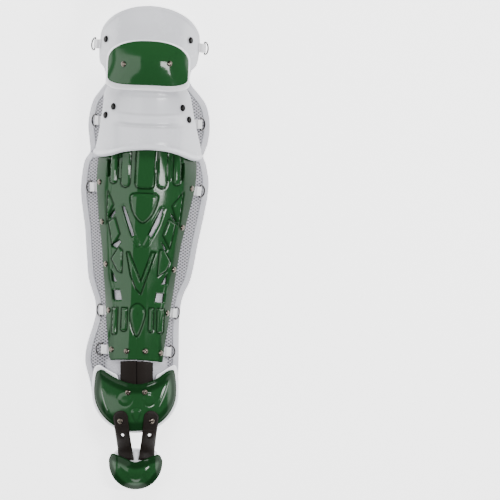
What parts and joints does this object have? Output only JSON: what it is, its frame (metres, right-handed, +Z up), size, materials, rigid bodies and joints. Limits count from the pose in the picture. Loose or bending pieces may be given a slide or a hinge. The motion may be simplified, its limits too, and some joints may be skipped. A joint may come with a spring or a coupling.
{
  "type": "catcher leg guard",
  "caption": "Full-length leg guard with hard knee, shin, ankle and toe shells over winged mesh padding, with strap rings along both edges.",
  "frame": {"origin": "under the middle of the guard's outline, on the surface that its padding lies on", "axes": "+Y towards the thigh end, +Z up through the front shells, +X to the right as seen from the front"},
  "size_m": [0.1744, 0.6636, 0.1119],
  "materials": {
    "padding_mesh": "open grey mesh over foam",
    "padding_white": "soft white synthetic leather over foam",
    "shell_grey": "smooth light grey moulded plastic",
    "shell_green": "deep gloss dark green moulded plastic",
    "strap_black": "black flexible moulded plastic",
    "tab_white": "white folded tab",
    "steel": "bright plated steel",
    "rivet_black": "black painted rivet"
  },
  "bodies": {
    "root": {"thigh_shell": "shell_grey", "knee_cap": "shell_green", "knee_cap_pad": "padding_white", "knee_shell": "shell_grey", "knee_pad": "padding_mesh", "shin_plate": "shell_green", "shin_pad": "padding_mesh", "ankle_band": "strap_black", "ankle_shell": "shell_green", "ankle_pad": "padding_white", "toe_strap_left": "strap_black", "toe_strap_right": "strap_black", "toe_cap": "shell_green", "toe_pad": "padding_white", "rivet_plate_left_1": "steel", "rivet_plate_left_2": "steel", "rivet_plate_left_3": "steel", "rivet_plate_left_4": "steel", "rivet_plate_left_5": "steel", "rivet_plate_right_1": "steel", "rivet_plate_right_2": "steel", "rivet_plate_right_3": "steel", "rivet_plate_right_4": "steel", "rivet_plate_right_5": "steel", "rivet_plate_low_left": "steel", "rivet_plate_low_right": "steel", "rivet_cap_left": "steel", "rivet_cap_right": "steel", "rivet_ankle_left": "steel", "rivet_ankle_right": "steel", "rivet_strap_left": "steel", "rivet_strap_right": "steel", "rivet_thigh_left": "rivet_black", "rivet_thigh_right": "rivet_black", "rivet_knee_high_left": "rivet_black", "rivet_knee_high_right": "rivet_black", "rivet_knee_low_left": "rivet_black", "rivet_knee_low_right": "rivet_black", "tab_thigh_left": "tab_white", "tab_thigh_right": "tab_white", "tab_knee_left": "tab_white", "tab_knee_right": "tab_white", "tab_calf_left": "tab_white", "tab_calf_right": "tab_white", "tab_shin_left": "tab_white", "tab_shin_right": "tab_white", "tab_foot_left": "tab_white", "tab_foot_right": "tab_white"},
    "ring_thigh_left": {"ring_thigh_left": "steel"},
    "ring_thigh_right": {"ring_thigh_right": "steel"},
    "ring_knee_left": {"ring_knee_left": "steel"},
    "ring_knee_right": {"ring_knee_right": "steel"},
    "ring_calf_left": {"ring_calf_left": "steel"},
    "ring_calf_right": {"ring_calf_right": "steel"},
    "ring_shin_left": {"ring_shin_left": "steel"},
    "ring_shin_right": {"ring_shin_right": "steel"},
    "ring_foot_left": {"ring_foot_left": "steel"},
    "ring_foot_right": {"ring_foot_right": "steel"}
  },
  "joints": [
    {"name": "swing_thigh_left", "type": "hinge", "parent": "root", "child": "ring_thigh_left", "pos_m": [-0.0753, 0.27811, 0.04146], "axis": [0.0741, 0.9965, -0.0393], "range_deg": [0, 110]},
    {"name": "swing_thigh_right", "type": "hinge", "parent": "root", "child": "ring_thigh_right", "pos_m": [0.07466, 0.27793, 0.04153], "axis": [0.0126, -0.9999, 0.0068], "range_deg": [0, 110]},
    {"name": "swing_knee_left", "type": "hinge", "parent": "root", "child": "ring_knee_left", "pos_m": [-0.07019, 0.17343, 0.03352], "axis": [0.0047, 1, -0.0028], "range_deg": [0, 110]},
    {"name": "swing_knee_right", "type": "hinge", "parent": "root", "child": "ring_knee_right", "pos_m": [0.07362, 0.17346, 0.03613], "axis": [0.0139, -0.9999, 0.0087], "range_deg": [0, 110]},
    {"name": "swing_calf_left", "type": "hinge", "parent": "root", "child": "ring_calf_left", "pos_m": [-0.0728, 0.0817, 0.03584], "axis": [-0.0217, 0.9996, 0.0162], "range_deg": [0, 110]},
    {"name": "swing_calf_right", "type": "hinge", "parent": "root", "child": "ring_calf_right", "pos_m": [0.07619, 0.08159, 0.03134], "axis": [-0.0592, -0.9974, -0.0403], "range_deg": [0, 110]},
    {"name": "swing_shin_left", "type": "hinge", "parent": "root", "child": "ring_shin_left", "pos_m": [-0.05313, -0.0868, 0.02593], "axis": [-0.0385, 0.999, 0.0233], "range_deg": [0, 110]},
    {"name": "swing_shin_right", "type": "hinge", "parent": "root", "child": "ring_shin_right", "pos_m": [0.04932, -0.08683, 0.02453], "axis": [-0.046, -0.9986, -0.0266], "range_deg": [0, 110]},
    {"name": "swing_foot_left", "type": "hinge", "parent": "root", "child": "ring_foot_left", "pos_m": [-0.04839, -0.14021, 0.0421], "axis": [-0.0027, 1, 0.0031], "range_deg": [0, 110]},
    {"name": "swing_foot_right", "type": "hinge", "parent": "root", "child": "ring_foot_right", "pos_m": [0.04346, -0.14026, 0.03352], "axis": [-0.0183, -0.9997, -0.0145], "range_deg": [0, 110]}
  ]
}
